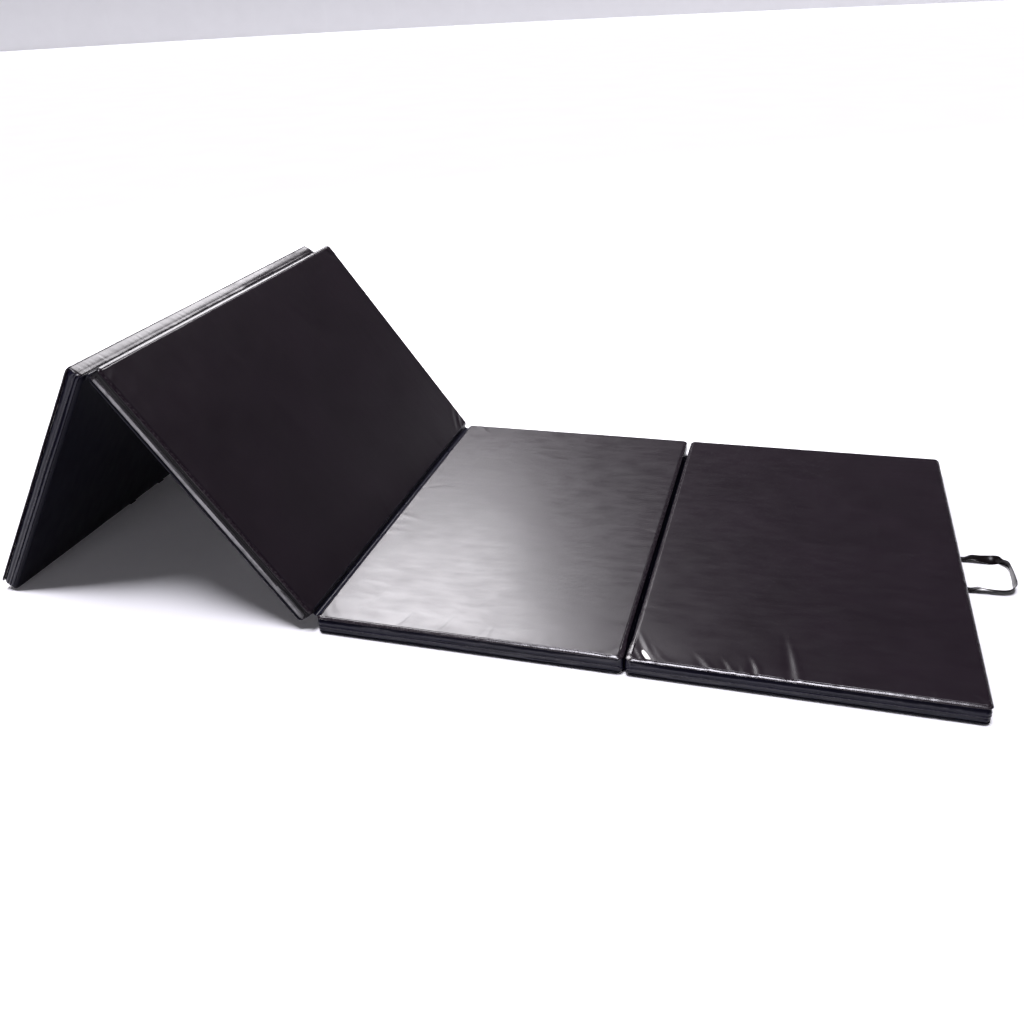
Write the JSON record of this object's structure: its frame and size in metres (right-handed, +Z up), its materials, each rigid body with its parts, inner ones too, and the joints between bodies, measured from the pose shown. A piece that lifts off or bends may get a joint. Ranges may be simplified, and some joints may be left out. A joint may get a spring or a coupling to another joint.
{
  "type": "folding gym mat",
  "caption": "Folding gym mat of thick foam panels in glossy dark vinyl covers, joined by fabric hinges, with zipped sides and a carry handle at each end.",
  "frame": {"origin": "centre of the underside of the second panel, which lies flat on the floor", "axes": "+X along the mat towards the free end of the first panel, +Y across the mat, +Z up"},
  "size_m": [2.7101, 1.2253, 0.6706],
  "materials": {
    "cover_vinyl": "gloss",
    "foam": "matte",
    "zip_tape": "matte",
    "zip_teeth": "satin",
    "zip_metal": "satin",
    "hinge_vinyl": "gloss",
    "handle_vinyl": "gloss"
  },
  "bodies": {
    "panel_2": {"panel_2_foam_core": "foam", "panel_2_top_sheet": "cover_vinyl", "panel_2_bottom_sheet": "cover_vinyl", "panel_2_lower_side_band": "cover_vinyl", "panel_2_upper_side_band": "cover_vinyl", "panel_2_zip_tape": "zip_tape", "panel_2_zip_chain": "zip_teeth", "hinge_12_half_on_panel_2": "hinge_vinyl", "hinge_23_half_on_panel_2": "hinge_vinyl"},
    "panel_1": {"panel_1_foam_core": "foam", "panel_1_top_sheet": "cover_vinyl", "panel_1_bottom_sheet": "cover_vinyl", "panel_1_lower_side_band": "cover_vinyl", "panel_1_upper_side_band": "cover_vinyl", "panel_1_zip_tape": "zip_tape", "panel_1_zip_chain": "zip_teeth", "hinge_12_half_on_panel_1": "hinge_vinyl", "handle_1_anchor_tabs": "handle_vinyl"},
    "panel_3": {"panel_3_foam_core": "foam", "panel_3_top_sheet": "cover_vinyl", "panel_3_bottom_sheet": "cover_vinyl", "panel_3_lower_side_band": "cover_vinyl", "panel_3_upper_side_band": "cover_vinyl", "panel_3_zip_tape": "zip_tape", "panel_3_zip_chain": "zip_teeth", "hinge_23_half_on_panel_3": "hinge_vinyl", "hinge_34_half_on_panel_3": "hinge_vinyl"},
    "panel_4": {"panel_4_foam_core": "foam", "panel_4_top_sheet": "cover_vinyl", "panel_4_bottom_sheet": "cover_vinyl", "panel_4_lower_side_band": "cover_vinyl", "panel_4_upper_side_band": "cover_vinyl", "panel_4_zip_tape": "zip_tape", "panel_4_zip_chain": "zip_teeth", "hinge_34_half_on_panel_4": "hinge_vinyl", "handle_4_anchor_tabs": "handle_vinyl"},
    "handle_1": {"handle_1_strap": "handle_vinyl"},
    "handle_4": {"handle_4_strap": "handle_vinyl"},
    "zip_slider_1": {"panel_1_zip_slider": "zip_metal"},
    "zip_slider_2": {"panel_2_zip_slider": "zip_metal"},
    "zip_slider_3": {"panel_3_zip_slider": "zip_metal"},
    "zip_slider_4": {"panel_4_zip_slider": "zip_metal"},
    "zip_pull_1": {"panel_1_zip_pull": "zip_metal"},
    "zip_pull_2": {"panel_2_zip_pull": "zip_metal"},
    "zip_pull_3": {"panel_3_zip_pull": "zip_metal"},
    "zip_pull_4": {"panel_4_zip_pull": "zip_metal"}
  },
  "joints": [
    {"name": "panel_1_fold", "type": "hinge", "parent": "panel_2", "child": "panel_1", "pos_m": [0.387, 0, -0.0003], "axis": [0, 1, 0], "range_deg": [0, 180]},
    {"name": "panel_3_fold", "type": "hinge", "parent": "panel_2", "child": "panel_3", "pos_m": [-0.385, 0, 0.0511], "axis": [0, 1, 0], "range_deg": [-54, 126]},
    {"name": "panel_4_fold", "type": "hinge", "parent": "panel_3", "child": "panel_4", "pos_m": [-0.88035, 0, 0.64545], "axis": [0, -1, 0], "range_deg": [-111.21, 68.79]},
    {"name": "handle_1_swing", "type": "hinge", "parent": "panel_1", "child": "handle_1", "pos_m": [1.1565, 0, 0.005], "axis": [0, -1, 0], "range_deg": [-115, 85]},
    {"name": "handle_4_swing", "type": "hinge", "parent": "panel_4", "child": "handle_4", "pos_m": [-1.30157, 0, 0.00145], "axis": [0, 1, 0], "range_deg": [-172.21, 27.79]},
    {"name": "zip_1_slide", "type": "slide", "parent": "panel_1", "child": "zip_slider_1", "axis": [-1, 0, 0], "range_m": [0, 0.616]},
    {"name": "zip_pull_1_flip", "type": "hinge", "parent": "zip_slider_1", "child": "zip_pull_1", "pos_m": [1.0822, 0.6133, 0.022], "axis": [0, 0, 1], "range_deg": [0, 172]},
    {"name": "zip_2_slide", "type": "slide", "parent": "panel_2", "child": "zip_slider_2", "axis": [-1, 0, 0], "range_m": [0, 0.616]},
    {"name": "zip_pull_2_flip", "type": "hinge", "parent": "zip_slider_2", "child": "zip_pull_2", "pos_m": [0.3082, 0.6133, 0.022], "axis": [0, 0, 1], "range_deg": [0, 172]},
    {"name": "zip_3_slide", "type": "slide", "parent": "panel_3", "child": "zip_slider_3", "axis": [-0.5878, 0, 0.809], "range_m": [0, 0.616]},
    {"name": "zip_pull_3_flip", "type": "hinge", "parent": "zip_slider_3", "child": "zip_pull_3", "pos_m": [-0.45368, 0.6133, 0.09613], "axis": [0.809, 0, 0.5878], "range_deg": [0, 172]},
    {"name": "zip_4_slide", "type": "slide", "parent": "panel_4", "child": "zip_slider_4", "axis": [0.5416, 0, 0.8406], "range_m": [0, 0.616]},
    {"name": "zip_pull_4_flip", "type": "hinge", "parent": "zip_slider_4", "child": "zip_pull_4", "pos_m": [-1.27562, 0.6133, 0.07311], "axis": [0.8406, 0, -0.5416], "range_deg": [0, 172]}
  ]
}
